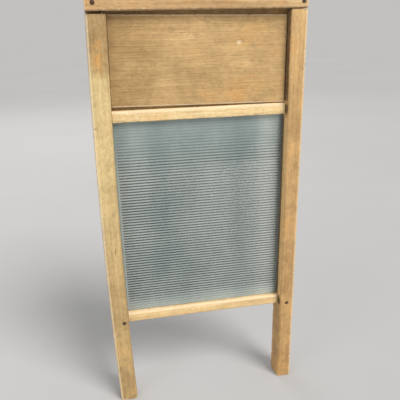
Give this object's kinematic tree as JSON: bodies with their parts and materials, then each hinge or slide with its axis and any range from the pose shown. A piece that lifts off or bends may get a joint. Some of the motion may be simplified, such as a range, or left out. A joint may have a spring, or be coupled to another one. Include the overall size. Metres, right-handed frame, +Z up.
{
  "type": "washboard",
  "caption": "Small upright washboard with a ribbed glass rubbing plate held in a grooved wooden frame with two legs, a cap rail and a recessed splash panel.",
  "frame": {"origin": "bottom centre of the board's box, on the floor that it stands on", "axes": "+Z up along the stiles, the rubbing side faces -Y, +X on the right of a person who faces it"},
  "size_m": [0.2213, 0.024, 0.4609],
  "materials": {
    "stile_wood": "bare, weathered, worn smooth at the edges",
    "cap_wood": "bare, weathered",
    "panel_wood": "bare, fine straight grain",
    "rail_wood": "bare, pale, rubbed smooth",
    "ribbed_glass": "pale blue-green pressed glass, finely ribbed",
    "nail_steel": "darkened and rusted wire nail"
  },
  "bodies": {
    "root": {"left_stile": "stile_wood", "right_stile": "stile_wood", "cap_rail": "cap_wood", "upper_panel": "panel_wood", "middle_rail": "rail_wood", "bottom_rail": "rail_wood", "rubbing_plate": "ribbed_glass", "cap_nails": "nail_steel", "bottom_rail_nails": "nail_steel"}
  },
  "joints": []
}
